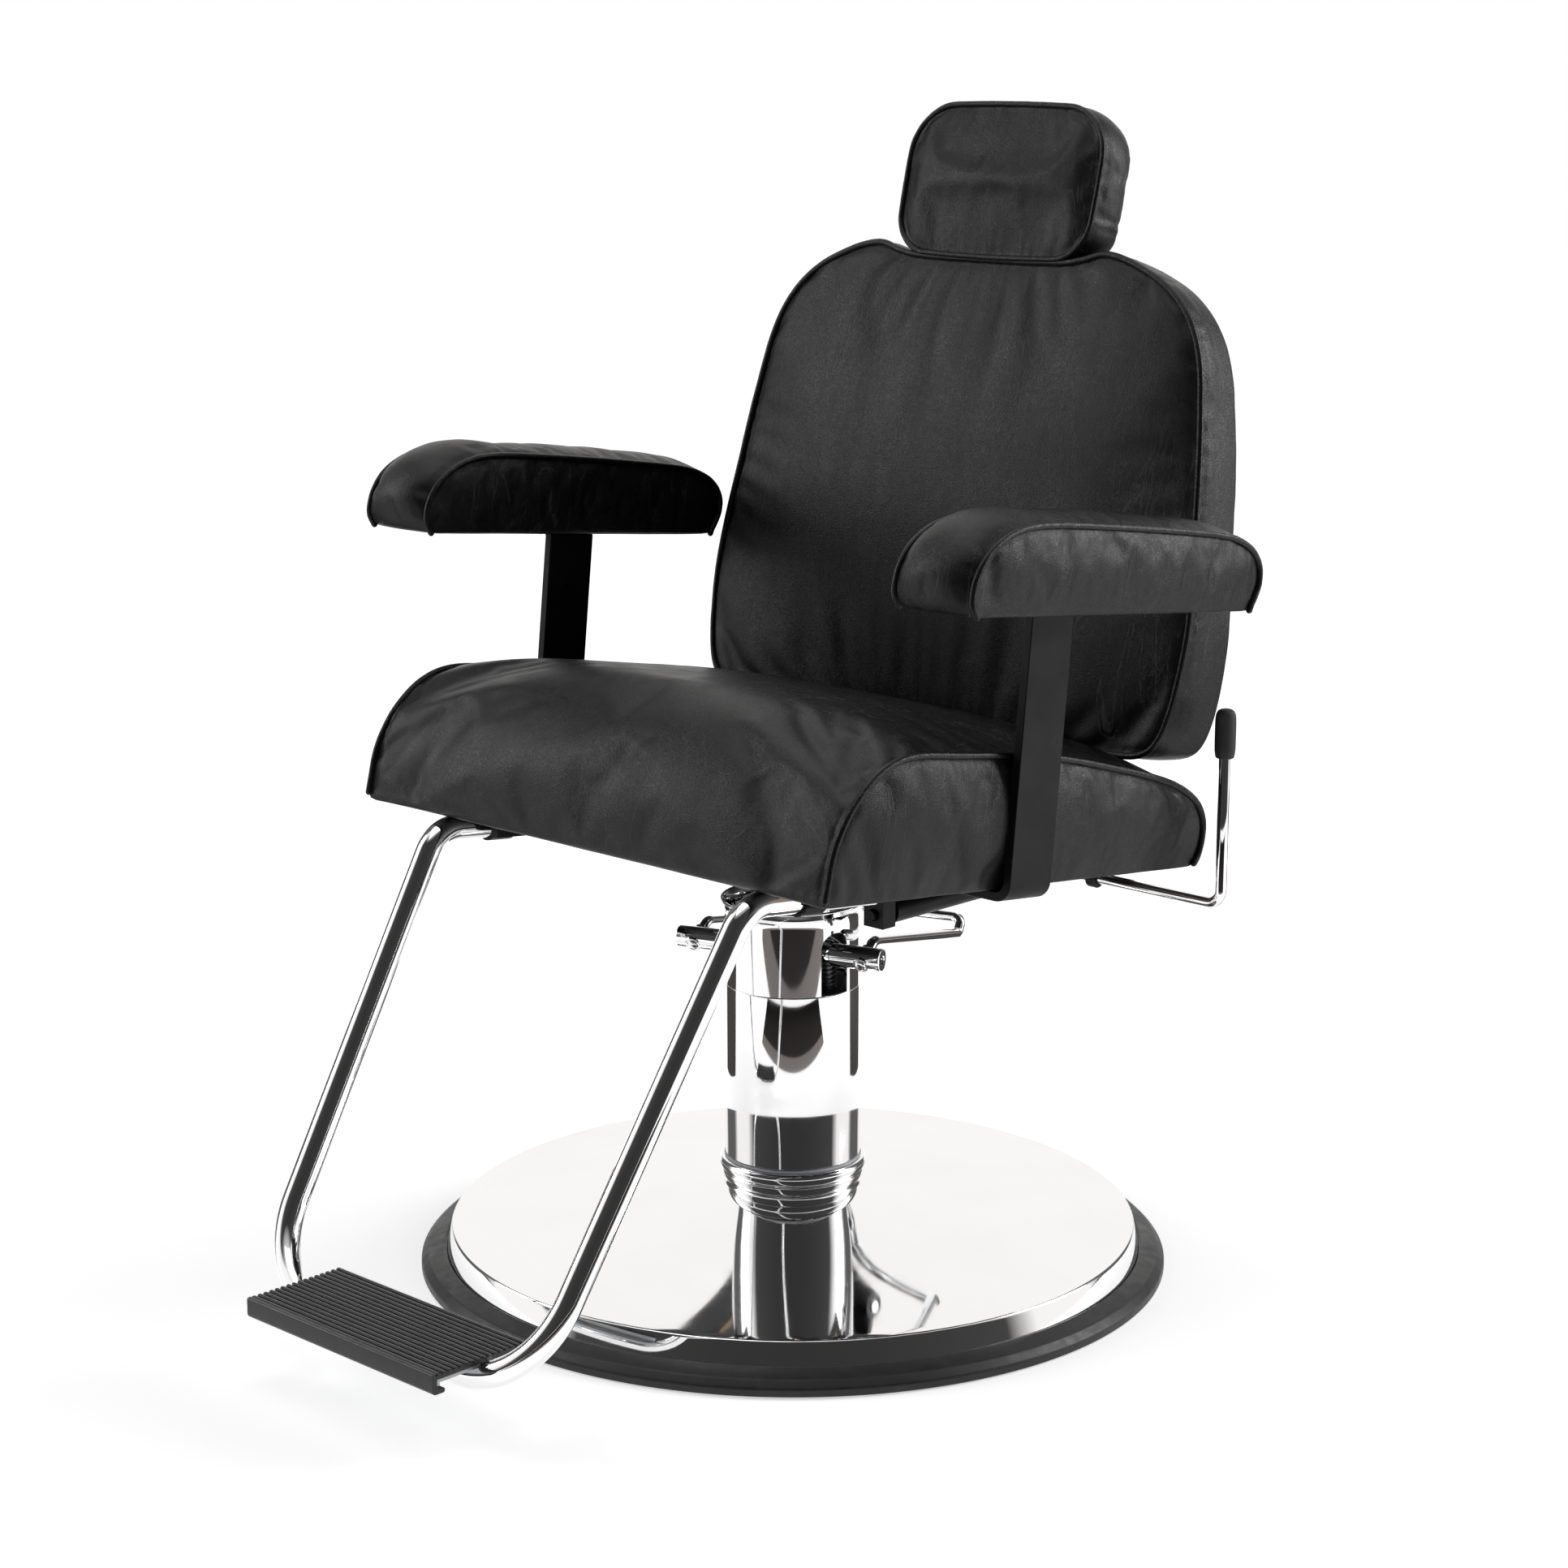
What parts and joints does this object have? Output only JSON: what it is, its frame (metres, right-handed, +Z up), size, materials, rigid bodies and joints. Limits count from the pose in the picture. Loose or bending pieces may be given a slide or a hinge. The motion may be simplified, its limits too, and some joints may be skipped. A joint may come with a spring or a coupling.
{
  "type": "hydraulic barber chair",
  "caption": "Barber chair with a hydraulic pump base, swivelling padded seat with arms and footrest, reclining back and sliding headrest.",
  "frame": {"origin": "middle of the base on the floor", "axes": "+Z up; the sitter faces -Y; +X is on the sitter's left"},
  "size_m": [0.702, 0.845, 1.0001],
  "materials": {
    "leather": "satin, fine grain",
    "chrome": "polished",
    "steel": "machined",
    "black_steel": "satin powder coat",
    "rubber": "matte",
    "plywood": "raw",
    "seal": "matte"
  },
  "bodies": {
    "base": {"base_plate": "steel", "base_ring": "rubber", "base_dome": "chrome", "base_collar": "chrome", "collar_gasket": "seal", "lower_sleeve": "chrome", "upper_shroud": "chrome", "pump_body": "steel", "pump_head": "steel", "ram_gland": "steel", "base_bolt_1": "steel", "base_bolt_2": "steel", "base_bolt_3": "steel", "base_bolt_4": "steel", "return_spring": "steel"},
    "pump_lever": {"cross_shaft": "chrome", "pump_handle": "chrome"},
    "plunger": {"plunger": "steel"},
    "ram": {"ram": "chrome", "swivel_washer": "steel"},
    "seat": {"seat_hub": "steel", "mounting_plate": "black_steel", "plate_bolt_1": "steel", "plate_bolt_2": "steel", "plate_bolt_3": "steel", "plate_bolt_4": "steel", "cross_bar_front": "black_steel", "cross_bar_rear": "black_steel", "rail_left": "black_steel", "rail_right": "black_steel", "hinge_pin_left": "steel", "hinge_pin_right": "steel", "seat_board": "plywood", "seat_cushion": "leather", "arm_support_left": "black_steel", "arm_support_right": "black_steel", "arm_board_left": "plywood", "arm_board_right": "plywood", "arm_pad_left": "leather", "arm_pad_right": "leather", "footrest_tube": "chrome", "tread_plate": "steel", "tread_cover": "rubber", "tube_clamp_left": "black_steel", "tube_clamp_right": "black_steel", "recline_cylinder": "black_steel"},
    "recline_lever": {"lever_rod": "chrome", "lever_grip": "rubber"},
    "recline_rod": {"recline_rod": "chrome"},
    "back": {"back_cushion": "leather", "back_board": "plywood", "back_cover": "leather", "headrest_guide": "black_steel", "hinge_arm_left": "black_steel", "hinge_arm_right": "black_steel"},
    "lock_knob": {"lock_knob": "rubber"},
    "headrest": {"headrest_stem": "chrome", "headrest_board": "plywood", "headrest_cushion": "leather"}
  },
  "joints": [
    {"name": "ram_lift", "type": "slide", "parent": "base", "child": "ram", "axis": [0, 0, 1], "range_m": [0, 0.16]},
    {"name": "seat_swivel", "type": "hinge", "parent": "ram", "child": "seat", "pos_m": [0, 0, 0.34], "axis": [0, 0, 1], "continuous": true},
    {"name": "pump_press", "type": "hinge", "parent": "base", "child": "pump_lever", "pos_m": [0.00879, -0.02553, 0.2875], "axis": [-0.9455, -0.3256, 0], "range_deg": [0, 25], "stiffness_Nm_per_rad": 4, "springref_deg": -28.65},
    {"name": "plunger_stroke", "type": "slide", "parent": "base", "child": "plunger", "axis": [0, 0, -1], "range_m": [0, 0.0097], "deforming": ["return_spring"]},
    {"name": "back_recline", "type": "hinge", "parent": "seat", "child": "back", "pos_m": [0, 0.262, 0.366], "axis": [-1, 0, 0], "range_deg": [0, 45]},
    {"name": "recline_rod_slide", "type": "slide", "parent": "seat", "child": "recline_rod", "axis": [0, -1, 0], "range_m": [0, 0.0276]},
    {"name": "recline_lever_pull", "type": "hinge", "parent": "seat", "child": "recline_lever", "pos_m": [0.164, 0.215, 0.334], "axis": [-1, 0, 0], "range_deg": [0, 20], "stiffness_Nm_per_rad": 1.5, "springref_deg": -22.92},
    {"name": "headrest_slide", "type": "slide", "parent": "back", "child": "headrest", "axis": [0, 0.2079, 0.9781], "range_m": [0, 0.12]},
    {"name": "lock_knob_turn", "type": "hinge", "parent": "back", "child": "lock_knob", "pos_m": [0, 0.30916, 0.79802], "axis": [0, 0.9781, -0.2079], "range_deg": [0, 270]}
  ],
  "couplings": [
    {"joint": "plunger_stroke", "follows": "pump_press", "m_per_rad": 0.022},
    {"joint": "recline_rod_slide", "follows": "back_recline", "m_per_rad": 0.03508}
  ]
}
